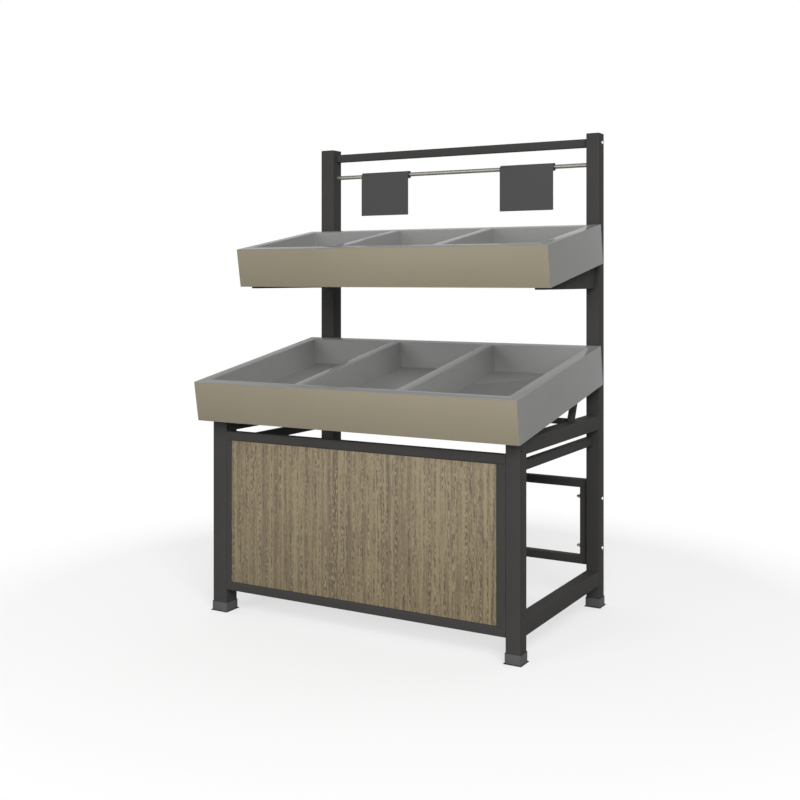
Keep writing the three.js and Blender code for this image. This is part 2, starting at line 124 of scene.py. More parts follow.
def lies_at(axis: Axis, *levels: Number) -> Test:
    """Edges that lie square to an axis, at one of the levels."""
    return lambda a, b: any(
        all(abs(end[axis.value] - level) < NEAR for end in (a, b)) for level in levels
    )


def looks_along(axis: Axis) -> Test:
    """Faces whose normal points along an axis, either way."""
    return lambda _, normal: abs(normal[axis.value]) > NEARLY_ONE


def looks_towards(direction: Vector) -> Test:
    """Faces whose normal points in a direction, given as a unit vector."""
    return lambda _, normal: normal.dot(direction) > NEARLY_ONE


def faces_above(level: Number) -> Test:
    """Faces whose centre is above a level."""
    return lambda centre, _: centre.z > level


def edges_above(level: Number) -> Test:
    """Edges that lie wholly above a level."""
    return lambda a, b: min(a.z, b.z) > level


def centred_in(low: Vector, high: Vector, *axes: Axis) -> Test:
    """Faces whose centre is the middle of a box along the given axes."""
    middle = (low + high) / 2
    return lambda centre, _: all(abs((centre - middle)[axis.value]) < CENTRED for axis in axes)


def both(*tests: Test) -> Test:
    """A test that holds where all of the given tests hold."""
    return lambda a, b: all(test(a, b) for test in tests)


def either(*tests: Test) -> Test:
    """A test that holds where any of the given tests holds."""
    return lambda a, b: any(test(a, b) for test in tests)


def without(test: Test) -> Test:
    """A test that holds where the given test fails."""
    return lambda a, b: not test(a, b)


UP = looks_towards(Axis.Z.unit)
DOWN = looks_towards(-Axis.Z.unit)
FRONT = looks_towards(-Axis.Y.unit)


# Shaping


def clear_selection() -> None:
    """Deselect everything, the CAD nodes included."""
    bpy.ops.object.select_all(action="DESELECT")


def draw_out(shift: Point) -> None:
    """Extrude what is selected in edit mode, and move it."""
    bpy.ops.mesh.extrude_region()
    bpy.ops.transform.translate(value=shift)


class Workpiece:
    """A mesh that is shaped step by step with the editing operators."""

    def __init__(self, name: str) -> None:
        """Take over the primitive that was just added.

        Args:
            name: Name of the finished piece.
        """
        self.obj: bpy.types.Object = bpy.context.active_object
        self.obj.name = name
        self.obj.data.name = name
        self.settle()

    @classmethod
    def block(cls, name: str, low: Point, high: Point) -> Workpiece:
        """Start from a box.

        Args:
            name: Name of the piece.
            low: Lowest corner.
            high: Highest corner.

        Returns:
            The new workpiece.
        """
        low, high = Vector(low), Vector(high)
        clear_selection()
        bpy.ops.mesh.primitive_cube_add(size=1.0, location=(low + high) / 2, scale=high - low)
        return cls(name)

    @classmethod
    def turned(
        cls, name: str, outline: Outline, sides: int, closing: Closing = Closing.DISCS
    ) -> Workpiece:
        """Draw a ring out along Z from radius to radius, as on a lathe.

        Args:
            name: Name of the piece.
            outline: Radius and height of each ring, in order.
            sides: Sides of each ring.
            closing: Discs at both ends, or a ring whose last loop meets the first.

        Returns:
            The new workpiece, standing on the origin.
        """
        clear_selection()
        radius, height = outline[0]
        bpy.ops.mesh.primitive_circle_add(
            vertices=sides, radius=radius, fill_type="NOTHING", location=(0, 0, height)
        )
        piece = cls(name)
        with piece.edit(Kind.EDGES):
            for next_radius, next_height in outline[1:]:
                draw_out((0, 0, next_height - height))
                share = next_radius / radius
                bpy.ops.transform.resize(
                    value=(share, share, 1), center_override=(0, 0, next_height)
                )
                radius, height = next_radius, next_height
            bpy.ops.mesh.select_non_manifold(extend=False)
            if closing is Closing.RING:
                bpy.ops.mesh.bridge_edge_loops()
            else:
                bpy.ops.mesh.fill_holes(sides=0)
        return piece

    def focus(self) -> None:
        """Make this the active object and the only selected one."""
        clear_selection()
        self.obj.select_set(True)
        bpy.context.view_layer.objects.active = self.obj

    def settle(self) -> None:
        """Move the object's place, turn and scale into its mesh."""
        self.focus()
        bpy.ops.object.transform_apply(location=True, rotation=True, scale=True)

    @contextmanager
    def edit(self, kind: Kind, test: Test | None = None) -> Iterator[None]:
        """Hold edit mode open, with everything selected or only what passes a test.

        Args:
            kind: The mesh elements that the steps inside work on.
            test: Picks edges by their two ends, or faces by centre and normal.
        """
        self.focus()
        bpy.context.tool_settings.mesh_select_mode = kind.value
        bpy.ops.object.mode_set(mode="EDIT")
        bpy.ops.mesh.select_all(action="DESELECT" if test else "SELECT")
        if test:
            self._pick(kind, test)
        yield
        bpy.ops.object.mode_set(mode="OBJECT")

    def _pick(self, kind: Kind, test: Test) -> None:
        """Select edges or faces, but no edge between faces that lie in one plane.

        Args:
            kind: Edges or faces.
            test: The test on an edge's two ends, or on a face's centre and normal.

        Raises:
            ValueError: If nothing passes, since the next step would then do nothing.
        """
        mesh = bmesh.from_edit_mesh(self.obj.data)
        mesh.normal_update()
        if kind is Kind.EDGES:
            folded = (edge for edge in mesh.edges if edge.calc_face_angle(math.pi) > FLAT)
            chosen = [edge for edge in folded if test(*(vertex.co for vertex in edge.verts))]
        else:
            chosen = [face for face in mesh.faces if test(face.calc_center_median(), face.normal)]
        if not chosen:
            raise ValueError(f"{self.obj.name}: no {kind.name} picked")
        for element in chosen:
            element.select_set(True)
        mesh.select_flush_mode()
        bmesh.update_edit_mesh(self.obj.data)

    def bevel(self, test: Test, width: Number, steps: int = CRISP) -> None:
        """Round edges off, with the given number of facets across."""
        with self.edit(Kind.EDGES, test):
            bpy.ops.mesh.bevel(offset=width, segments=steps, affect="EDGES", clamp_overlap=True)

    def inset(self, test: Test, width: Number, depth: Number = 0.0) -> None:
        """Draw a border round the inside of faces, whose middle rises by the depth."""
        with self.edit(Kind.FACES, test):
            bpy.ops.mesh.inset(thickness=width, depth=depth)

    def extrude(self, test: Test, shift: Point) -> None:
        """Draw faces out of the mesh."""
        with self.edit(Kind.FACES, test):
            draw_out(shift)

    def slide_edges(self, test: Test, shift: Point) -> None:
        """Move edges with the faces that they border."""
        with self.edit(Kind.EDGES, test):
            bpy.ops.transform.translate(value=shift)

    def merge_flat_faces(self) -> None:
        """Make one face of neighbours that lie in one plane."""
        with self.edit(Kind.FACES):
            bpy.ops.mesh.dissolve_limited(angle_limit=ONE_PLANE)

    def bore_through(self, ends: Test, wall: Number) -> None:
        """Open a bore from end to end, a wall's thickness in from the outside.

        Args:
            ends: Picks the two end faces.
            wall: Thickness of the wall that stays.
        """
        with self.edit(Kind.FACES, ends):
            bpy.ops.mesh.inset(thickness=wall)
            bpy.ops.mesh.bridge_edge_loops()

    def saw(self, point: Vector, towards: Vector) -> None:
        """Saw off what lies beyond a plane, in the direction given, and close the cut."""
        with self.edit(Kind.FACES):
            bpy.ops.mesh.bisect(plane_co=point, plane_no=towards, clear_outer=True, use_fill=True)

    def modify(self, kind: str, **settings: Any) -> None:
        """Put a modifier on the mesh and apply it.

        Args:
            kind: The modifier's type.
            **settings: Its properties.
        """
        modifier = self.obj.modifiers.new(kind, kind)
        for key, value in settings.items():
            setattr(modifier, key, value)
        self.focus()
        bpy.ops.object.modifier_apply(modifier=modifier.name)

    def drill(self, drill: Workpiece) -> None:
        """Take another workpiece's shape out of this one, and remove it."""
        self.modify("BOOLEAN", object=drill.obj, operation="DIFFERENCE")
        bpy.data.objects.remove(drill.obj)

    def carry(self, turn: Point, place: Point) -> None:
        """Turn the piece about its origin and carry it to its place.

        Args:
            turn: Turns about X, Y and Z, in radians.
            place: Where the piece's origin goes.
        """
        self.obj.rotation_euler = turn
        self.obj.location = place
        self.settle()

    def stand(self, along: Vector, place: Point) -> None:
        """Turn the piece's Z towards a direction and carry it to its place."""
        self.carry(along.to_track_quat("Z", "Y").to_euler(), place)

    def copy(self, name: str) -> Workpiece:
        """Copy the piece, with a mesh of its own.

        Args:
            name: Name of the copy.

        Returns:
            The copy.
        """
        self.focus()
        bpy.ops.object.duplicate(linked=False)
        return Workpiece(name)

    def absorb(self, *others: Workpiece) -> None:
        """Join other workpieces into this one.

        Args:
            *others: The workpieces that become part of this one.
        """
        self.focus()
        for other in others:
            other.obj.select_set(True)
        bpy.ops.object.join()

    def dress(self, body: str, coat: Coat, *nodes: str) -> None:
        """Close the work: normals, shading, material, and what the piece stands for.

        Args:
            body: The CAD body that the piece rides on.
            coat: Its built finish, with the record's material slot.
            *nodes: The CAD nodes that the piece replaces.
        """
        with self.edit(Kind.FACES):
            bpy.ops.mesh.normals_make_consistent(inside=False)
        self.focus()
        bpy.ops.object.shade_smooth_by_angle(angle=SMOOTH_ANGLE)
        self.obj.data.materials.clear()
        self.obj.data.materials.append(coat.material)
        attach(self.obj, body)
        if nodes:
            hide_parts(*nodes)
        LOG.info("%s: %d faces, on %s", self.obj.name, len(self.obj.data.polygons), body)


# Shader recipes


@dataclass(frozen=True)
class Colour:
    """A colour as it looks on a screen, 0 to 255 a channel."""

    red: Number
    green: Number
    blue: Number

    def linear(self, gain: Number = 1.0) -> tuple[float, float, float, float]:
        """Scene-linear colour.

        Args:
            gain: Factor on the light that the colour gives back.

        Returns:
            Red, green, blue and an alpha of one.
        """
        shares = (channel / 255 for channel in (self.red, self.green, self.blue))
        light = [s / 12.92 if s <= 0.04045 else ((s + 0.055) / 1.055) ** 2.4 for s in shares]
        return (light[0] * gain, light[1] * gain, light[2] * gain, 1.0)


@dataclass(frozen=True)
class Grain:
    """A noise: features a metre along each axis, octaves, and the weight of the finer ones."""

    scale: tuple[Number, Number, Number]
    detail: Number = 2.0
    fineness: Number = 0.5


class Signal:
    """A number that runs through a shader, on which Python's arithmetic works."""

    def __init__(self, recipe: Recipe, socket: bpy.types.NodeSocket) -> None:
        """Wrap an output socket of a recipe."""
        self.recipe = recipe
        self.socket = socket

    def _math(self, operation: str, first: Signal | Number, second: Signal | Number) -> Signal:
        """Result of a Math node."""
        return self.recipe.add("ShaderNodeMath", {"operation": operation}, {0: first, 1: second})

    def __add__(self, other: Signal | Number) -> Signal:
        """Sum."""
        return self._math("ADD", self, other)

    __radd__ = __add__

    def __sub__(self, other: Signal | Number) -> Signal:
        """Difference."""
        return self._math("SUBTRACT", self, other)

    def __rsub__(self, other: Number) -> Signal:
        """Difference, taken from a number."""
        return self._math("SUBTRACT", other, self)

    def __mul__(self, other: Signal | Number) -> Signal:
        """Product."""
        return self._math("MULTIPLY", self, other)

    __rmul__ = __mul__

    def above(self, level: Number, width: Number) -> Signal:
        """Soft step: 0 below the level and 1 above level plus width."""
        return self.recipe.add(
            "ShaderNodeMapRange",
            {"interpolation_type": "SMOOTHSTEP"},
            {0: self, 1: level, 2: level + width, 3: 0.0, 4: 1.0},
        )

    def highest(self, other: Signal | Number) -> Signal:
        """The greater of two numbers."""
        return self._math("MAXIMUM", self, other)

    def swing(self, width: Number) -> Signal:
        """A noise as a swing round zero, as wide as given."""
        return (self - 0.5) * width


class Recipe:
    """The node tree of one finish."""

    def __init__(self, tree: bpy.types.NodeTree) -> None:
        """Start with an empty tree."""
        self.tree = tree
        self.tree.nodes.clear()

    @classmethod
    def material(cls, name: str) -> tuple[Recipe, bpy.types.Material]:
        """Open a new material.

        Args:
            name: Name of the material.

        Returns:
            Its recipe and the material.
        """
        made = bpy.data.materials.new(name)
        made.use_nodes = True
        return cls(made.node_tree), made

    def node(self, kind: str, settings: Values | None, values: Values | None) -> bpy.types.Node:
        """Add a node.

        Args:
            kind: The node's type.
            settings: Its properties, set first; "stops" fills a colour ramp.
            values: Constants or signals for its input sockets.

        Returns:
            The node.
        """
        node = self.tree.nodes.new(kind)
        for key, value in (settings or {}).items():
            if key == "stops":
                self._fill_ramp(node.color_ramp, value)
            else:
                setattr(node, key, value)
        for key, value in (values or {}).items():
            socket = node.inputs[key]
            if isinstance(value, Signal):
                self.tree.links.new(value.socket, socket)
            else:
                socket.default_value = value
        return node

    @staticmethod
    def _fill_ramp(ramp: bpy.types.ColorRamp, stops: Sequence[tuple[Number, Any]]) -> None:
        """Set a ramp's stops.

        Args:
            ramp: The colour ramp.
            stops: Place and colour of each stop, in order.
        """
        while len(ramp.elements) < len(stops):
            ramp.elements.new(1.0)
        for element, (place, colour) in zip(ramp.elements, stops):
            element.position = place
            element.color = colour

    def add(
        self,
        kind: str,
        settings: Values | None = None,
        values: Values | None = None,
        outlet: int | str = 0,
    ) -> Signal:
        """Add a node, as node does, and take one of its outputs."""
        return Signal(self, self.node(kind, settings, values).outputs[outlet])

    def place(self, stretch: Point = (1.0, 1.0, 1.0)) -> Signal:
        """Object coordinates, stretched along each axis."""
        raw = self.add("ShaderNodeTexCoord", outlet="Object")
        return self.add("ShaderNodeVectorMath", {"operation": "MULTIPLY"}, {0: raw, 1: stretch})

    def height(self) -> Signal:
        """Height above the floor, in metres."""
        raw = self.add("ShaderNodeTexCoord", outlet="Object")
        return self.add("ShaderNodeSeparateXYZ", None, {0: raw}, outlet="Z")

    def noise(self, grain: Grain) -> Signal:
        """Cloudy noise, a number round one half."""
        values = {"Scale": 1.0, "Detail": grain.detail, "Roughness": grain.fineness}
        return self.add("ShaderNodeTexNoise", None, {"Vector": self.place(grain.scale), **values})

    def mix(self, factor: Signal | Number, first: Any, second: Any) -> Signal:
        """Blend two colours: 0 gives the first and 1 the second."""
        values = {0: factor, 6: first, 7: second}
        return self.add("ShaderNodeMix", {"data_type": "RGBA"}, values, outlet=2)

    def bump(self, height: Signal, distance: Number, strength: Number = 1.0) -> Signal:
        """Normals bent by a small relief, whose height of 1 stands for the distance."""
        values = {"Height": height, "Distance": distance, "Strength": strength}
        return self.add("ShaderNodeBump", None, values)

    def close(self, surface: Signal, output: str = "ShaderNodeOutputMaterial") -> None:
        """End the recipe in its output node."""
        self.node(output, None, {"Surface": surface})

    def close_principled(self, values: Values) -> None:
        """End the recipe in a Principled surface with these sockets fed."""
        self.close(self.add("ShaderNodeBsdfPrincipled", None, values))


# Finishes


@dataclass(frozen=True)
class Coat:
    """A built finish: its material and its slot in the record."""

    material: bpy.types.Material
    slot: str


@dataclass(frozen=True)
class PaintFinish:
    """Coat of paint or powder: a tone that wanders a little over a fine, pebbled skin.

    Here as in the other finishes, a matting is how far a noise swings the roughness.
    """

    name: str
    slot: str
    colour: Colour
    roughness: Number
    wander: Number = 0.05
    pebbles: Number = 700.0
    relief: Number = 0.00006
    gloss: Number = 0.5
    cloud: Grain = Grain((4.0, 4.0, 4.0), 4.0, 0.6)
    cloud_share: Number = 0.7
    tone_step: Step = (0.3, 0.4)
    pebble_matting: Number = 0.12
    cloud_matting: Number = 0.1

    def build(self) -> Coat:
        """Make the material.

        Returns:
            The material with its slot.
        """
        recipe, made = Recipe.material(self.name)
        cloud = recipe.noise(self.cloud)
        pebble = recipe.noise(Grain((self.pebbles,) * 3))
        tone = cloud * self.cloud_share + pebble * (1 - self.cloud_share)
        dark, pale = self.colour.linear(1 - self.wander), self.colour.linear(1 + self.wander)
        matting = pebble.swing(self.pebble_matting) + cloud.swing(self.cloud_matting)
        recipe.close_principled(
            {
                "Base Color": recipe.mix(tone.above(*self.tone_step), dark, pale),
                "Roughness": self.roughness + matting,
                "Normal": recipe.bump(pebble, self.relief),
                "Specular IOR Level": self.gloss,
            }
        )
        return Coat(made, self.slot)


@dataclass(frozen=True)
class PlasticFinish:
    """Moulded plastic: an even tone over a fine eroded grain, with painted shade where it meets the
    floor.
    """

    name: str
    slot: str
    colour: Colour
    roughness: Number = 0.6
    wander: Number = 0.07
    relief: Number = 0.0001
    gloss: Number = 0.15
    grain: Grain = Grain((1500.0, 1500.0, 1500.0), 3.0, 0.6)
    cloud: Grain = Grain((30.0, 30.0, 30.0))
    grain_share: Number = 0.5
    tone_step: Step = (0.35, 0.3)
    matting: Number = 0.15
    # Painted shade at the foot: its height (none at 0), darkening, waver and fade
    painted_shade_height: Number = 0.0
    painted_shade_gain: Number = 0.42
    painted_shade_swing: Number = 0.004
    painted_shade_fade: Number = 0.002

    def build(self) -> Coat:
        """Make the material.

        Returns:
            The material with its slot.
        """
        recipe, made = Recipe.material(self.name)
        grain = recipe.noise(self.grain)
        cloud = recipe.noise(self.cloud)
        tone = grain * self.grain_share + cloud * (1 - self.grain_share)
        dark, pale = self.colour.linear(1 - self.wander), self.colour.linear(1 + self.wander)
        colour = recipe.mix(tone.above(*self.tone_step), dark, pale)
        # Painted shade: darker below a wavering height, where the piece meets the floor
        if self.painted_shade_height:
            level = recipe.height() + cloud.swing(self.painted_shade_swing)
            unshaded = level.above(self.painted_shade_height, self.painted_shade_fade)
            colour = recipe.mix(unshaded, self.colour.linear(self.painted_shade_gain), colour)
        recipe.close_principled(
            {
                "Base Color": colour,
                "Roughness": self.roughness + grain.swing(self.matting),
                "Normal": recipe.bump(grain, self.relief),
                "Specular IOR Level": self.gloss,
            }
        )
        return Coat(made, self.slot)


@dataclass(frozen=True)
class PlateFinish:
    """Plated metal: bright, with faint draw lines along one axis."""

    name: str
    slot: str
    colour: Colour
    roughness: Number
    lines: Grain
    relief: Number = 0.00001
    wander: Number = 0.08
    cloud: Grain = Grain((40.0, 40.0, 40.0), 3.0)
    tone_step: Step = (0.3, 0.4)
    line_matting: Number = 0.1
    cloud_matting: Number = 0.08

    def build(self) -> Coat:
        """Make the material.

        Returns:
            The material with its slot.
        """
        recipe, made = Recipe.material(self.name)
        lines = recipe.noise(self.lines)
        cloud = recipe.noise(self.cloud)
        dull, bright = self.colour.linear(1 - self.wander), self.colour.linear()
        matting = lines.swing(self.line_matting) + cloud.swing(self.cloud_matting)
        recipe.close_principled(
            {
                "Base Color": recipe.mix(cloud.above(*self.tone_step), dull, bright),
                "Metallic": 1.0,
                "Roughness": self.roughness + matting,
                "Normal": recipe.bump(lines, self.relief),
            }
        )
        return Coat(made, self.slot)


@dataclass(frozen=True)
class WoodFinish:
    """Greige oak board with its grain upright: broad bands, streaks, and short dark pores."""

    name: str
    slot: str
    pale: Colour
    middle: Colour
    dark: Colour
    pore: Colour
    sway: Grain = Grain((6.0, 6.0, 3.0))
    band: Grain = Grain((64.0, 64.0, 1.1), 3.0, 0.6)
    streak: Grain = Grain((150.0, 150.0, 7.0), 4.0, 0.65)
    fibre: Grain = Grain((230.0, 230.0, 80.0), 3.0, 0.6)
    beads: Grain = Grain((200.0, 200.0, 75.0))
    rows: Grain = Grain((130.0, 130.0, 1.8))
    ticks: Grain = Grain((175.0, 175.0, 30.0), 2.0, 0.6)
    tone_shares: tuple[Number, ...] = (0.36, 0.33, 0.27, 0.04)
    ramp: tuple[Number, Number, Number] = (0.45, 0.50, 0.55)
    pore_steps: tuple[Step, Step] = ((0.49, 0.1), (0.49, 0.12))
    fleck_steps: tuple[Step, Step] = ((0.54, 0.08), (0.53, 0.1))
    tick_steps: tuple[Step, Step] = ((0.555, 0.04), (0.46, 0.08))
    mark_strength: Number = 0.85
    fleck_gain: Number = 1.32
    roughness: Number = 0.62
    fibre_matting: Number = 0.2
    grain_relief: Number = 0.5
    pore_relief: Number = 0.6
    relief: Number = 0.0004
    relief_strength: Number = 0.6

    def build(self) -> Coat:
        """Make the material.

        Returns:
            The material with its slot.
        """
        recipe, made = Recipe.material(self.name)
        sway, band, streak = (recipe.noise(g) for g in (self.sway, self.band, self.streak))
        fibre, beads = recipe.noise(self.fibre), recipe.noise(self.beads)
        rows, ticks = recipe.noise(self.rows), recipe.noise(self.ticks)
        parts = [n * share for n, share in zip((band, streak, fibre, sway), self.tone_shares)]
        tones = (self.dark.linear(), self.middle.linear(), self.pale.linear())
        stops = {"stops": list(zip(self.ramp, tones))}
        body = recipe.add("ShaderNodeValToRGB", stops, {0: sum(parts[1:], parts[0])})
        pore, fleck, tick = (
            mark.above(*steps[0]) * rows.above(*steps[1])
            for mark, steps in (
                (beads, self.pore_steps),
                (1.0 - beads, self.fleck_steps),
                (ticks, self.tick_steps),
            )
        )
        holes = (pore * self.mark_strength).highest(tick * self.mark_strength)
        pored = recipe.mix(holes, body, self.pore.linear())
        relief = streak * self.grain_relief + fibre * self.grain_relief - pore * self.pore_relief
        pale = self.pale.linear(self.fleck_gain)
        recipe.close_principled(
            {
                "Base Color": recipe.mix(fleck * self.mark_strength, pored, pale),
                "Roughness": self.roughness + fibre.swing(self.fibre_matting),
                "Normal": recipe.bump(relief, self.relief, self.relief_strength),
            }
        )
        return Coat(made, self.slot)


class FinishSet:
    """All the finishes of the rack, each built once."""

    def __init__(self) -> None:
        """Build every finish."""
        along_rod = Grain((12.0, 160.0, 160.0), 3.0, 0.6)
        all_round = Grain((300.0, 300.0, 300.0), 3.0, 0.6)
        self.frame_paint = PaintFinish(
            "frame_paint", "frame_paint", Colour(62, 61, 60), roughness=0.6, gloss=0.02
        ).build()
        self.tray_paint = PaintFinish(
            "tray_paint",
            "tray_paint",
            Colour(135, 135, 134),
            roughness=0.17,
            wander=0.03,
            pebbles=500.0,
            relief=0.00001,
            gloss=0.016,
        ).build()
        self.fascia_paint = PaintFinish(
            "fascia_paint",
            "fascia_paint",
            Colour(135, 128, 110),
            roughness=0.4,
            wander=0.03,
            pebbles=500.0,
            relief=0.00002,
            gloss=0.1,
        ).build()
        self.base_paint = PaintFinish(
            "tray_base_paint", "tray_base_paint", Colour(120, 120, 122), roughness=0.5
        ).build()
        self.plate_paint = PaintFinish(
            "plate_paint",
            "plate_paint",
            Colour(68, 68, 68),
            roughness=0.5,
            wander=0.04,
            gloss=0.08,
        ).build()
        self.wood = WoodFinish(
            "oak_board",
            "panel_wood",
            pale=Colour(127, 115, 88),
            middle=Colour(113, 100, 77),
            dark=Colour(97, 84, 64),
            pore=Colour(67, 57, 44),
        ).build()
        # Dark strip that paints the shade in the gap round the wood board
        self.painted_shade_strip = PlasticFinish("painted_shade_strip", "black_plastic", Colour(52, 55, 58)).build()
        self.chrome = PlateFinish(
            "rod_chrome",
            "rod_chrome",
            Colour(141, 138, 132),
            roughness=0.5,
            lines=along_rod,
            relief=0.000002,
        ).build()
        self.zinc = PlateFinish(
            "zinc_plate", "zinc_plate", Colour(232, 232, 228), roughness=0.32, lines=all_round
        ).build()
        # Painted shade: a darker copy of the zinc for the cap nuts, which stand in shade inside the
        # frame
        self.painted_shade_zinc = PlateFinish(
            "painted_shade_zinc", "zinc_plate", Colour(176, 176, 174), roughness=0.36, lines=all_round
        ).build()
        # The boots get painted shade where they meet the floor
        self.boot_plastic = PlasticFinish(
            "boot_plastic", "boot_plastic", Colour(77, 77, 78), painted_shade_height=0.0025
        ).build()
        self.black_plastic = PlasticFinish(
            "black_plastic", "black_plastic", Colour(44, 44, 44)
        ).build()


# Sub-assemblies


@dataclass(frozen=True)
class Stock:
    """A square tube's wall and the radius of its long corners."""

    wall: Number
    radius: Number


@dataclass
class TubeWork:
    """The welded frame: every square tube, the leaning struts and the folded brackets."""

    finishes: FinishSet
    post: Stock = Stock(wall=0.002, radius=0.0025)
    slim: Stock = Stock(wall=0.0015, radius=0.002)
    edge_break: Number = 0.0002
    strut_lean: Number = math.radians(25)
    strut_depth: Number = 0.025
    hole_radius: Number = 0.00425
    hole_setback: Number = 0.010
    hole_drop: Number = 0.037
    drill_reach: Number = 0.0555
    drill_sides: int = 20
    bracket_tip: Number = 0.009
    bracket_fold: Number = 0.0015

    def build(self) -> None:
        """Build all tubes, struts and brackets."""
        for side in SIDES:
            self._tube(f"{side}_front_leg", Axis.Z, self.post, drilled=True)
            self._tube(f"{side}_rear_post", Axis.Z, self.post)
            self._tube(f"{side}_upper_rail", Axis.Y, self.post)
            self._tube(f"{side}_lower_rail", Axis.Y, self.post)
            self._tube(f"{side}_inner_rail", Axis.Y, self.slim)
            self._strut(f"{side}_tray_strut")
            self._bracket(f"{side}_tray_bracket")
        for panel in ("panel", "rear_frame"):
            for rail in ("bottom_rail", "top_rail"):
                self._tube(f"{panel}_{rail}", Axis.X, self.slim)
            for side in SIDES:
                self._tube(f"{panel}_{side}_stile", Axis.Z, self.slim)
        self._tube("top_rail", Axis.X, self.slim)
        self._tube("tray_cross_beam", Axis.X, self.slim)

    def _dress(self, piece: Workpiece, node: str) -> None:
        """Give a piece of the frame its paint and let it stand for its node."""
        piece.dress(FRAME_BODY, self.finishes.frame_paint, node)

    def _tube(self, node: str, axis: Axis, stock: Stock, drilled: bool = False) -> None:
        """Make a square tube that fills a CAD node's box.

        Args:
            node: The CAD node.
            axis: The axis along the tube.
            stock: Its wall and corners.
            drilled: Whether it has the hole near its top.
        """
        low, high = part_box(node)
        tube = Workpiece.block(f"{node}_tube", low, high)
        tube.bevel(runs_along(axis), stock.radius, ROUND)
        tube.bore_through(looks_along(axis), stock.wall)
        tube.bevel(lies_at(axis, low[axis.value], high[axis.value]), self.edge_break, CHAMFER)
        if drilled:
            r, reach = self.hole_radius, self.drill_reach
            drill = Workpiece.turned("drill", [(r, -reach), (r, reach)], self.drill_sides)
            middle = (low.x + high.x) / 2
            drill.stand(Axis.X.unit, (middle, low.y + self.hole_setback, high.z - self.hole_drop))
            tube.drill(drill)
        self._dress(tube, node)

    def _strut(self, node: str) -> None:
        """Make the strut that leans back from the upper rail to the lower tray.

        Args:
            node: The CAD node.
        """
        low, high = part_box(node)
        reach = high.z - low.z
        corners = (low.x, 0.0, -reach), (high.x, self.strut_depth, 2 * reach)
        strut = Workpiece.block(f"{node}_tube", *corners)
        strut.bevel(runs_along(Axis.Z), self.slim.radius, ROUND)
        strut.carry((-self.strut_lean, 0.0, 0.0), (0.0, low.y, low.z))
        strut.saw(low, -Axis.Z.unit)
        slope = Vector((0.0, -math.sin(TRAY_TILT), math.cos(TRAY_TILT)))
        strut.saw(high, slope)
        strut.bore_through(either(DOWN, looks_towards(slope)), self.slim.wall)
        self._dress(strut, node)

    def _bracket(self, node: str) -> None:
        """Make the folded wedge under the upper tray.

        Args:
            node: The CAD node.
        """
        low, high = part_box(node)
        wedge = Workpiece.block(f"{node}_wedge", low, high)
        drop = low.z + self.bracket_tip - high.z
        wedge.slide_edges(both(lies_at(Axis.Y, low.y), lies_at(Axis.Z, high.z)), (0, 0, drop))
        wedge.bevel(without(lies_at(Axis.Y, high.y)), self.bracket_fold, SOFT)
        self._dress(wedge, node)


@dataclass
class Boots:
    """The four plastic boots under the posts."""

    finishes: FinishSet
    wall: Number = 0.002
    lip: Number = 0.001
    taper: Number = 0.003
    reach: Number = 0.0034
    corner: Number = 0.003
    edge: Number = 0.0006
    pocket: Number = 0.006

    def build(self) -> None:
        """Build and dress the boots, each to its own tube."""
        for side in SIDES:
            for place in ("front", "rear"):
                self._boot(f"{side}_{place}_boot")

    def _boot(self, node: str) -> None:
        """Make one boot: a lip on the floor that tapers up into a sleeve with a pocket.

        Args:
            node: The CAD node that it stands for.
        """
        low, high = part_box(node)
        boot = Workpiece.block(f"{node}_moulding", low, (high.x, high.y, low.z + self.lip))
        boot.inset(UP, self.reach, self.taper)
        boot.extrude(UP, (0, 0, high.z - low.z - self.lip - self.taper))
        boot.inset(UP, self.wall)
        boot.extrude(both(UP, centred_in(low, high, Axis.X, Axis.Y)), (0, 0, -self.pocket))
        boot.bevel(both(runs_along(Axis.Z), edges_above(low.z + self.lip)), self.corner, ROUND)
        boot.bevel(lies_at(Axis.Z, high.z), self.edge)
        boot.dress(FRAME_BODY, self.finishes.boot_plastic, node)


@dataclass
class PostCaps:
    """The plastic caps on the rear posts."""

    finishes: FinishSet
    rim: Number = 0.0015
    slope: Number = 0.0018
    corner: Number = 0.0025
    plug_inset: Number = 0.0023
    plug_length: Number = 0.014
    edge: Number = 0.0004

    def build(self) -> None:
        """Build both caps, each a low pyramid on a plug in its post."""
        for side in SIDES:
            node = f"{side}_post_cap"
            cap_low, cap_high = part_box(node)
            base = cap_low.z + self.plug_length
            low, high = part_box(f"{side}_rear_post")
            corners = (low.x, low.y, base), (high.x, high.y, base + self.rim)
            cap = Workpiece.block(f"{node}_moulding", *corners)
            cap.bevel(runs_along(Axis.Z), self.corner, ROUND)
            cap.inset(UP, self.slope, cap_high.z - base - self.rim)
            cap.inset(DOWN, self.plug_inset)
            plug = both(DOWN, centred_in(low, high, Axis.X, Axis.Y))
            cap.extrude(plug, (0, 0, -self.plug_length))
            cap.bevel(lies_at(Axis.Z, cap_high.z), self.edge)
            cap.dress(FRAME_BODY, self.finishes.black_plastic, node)


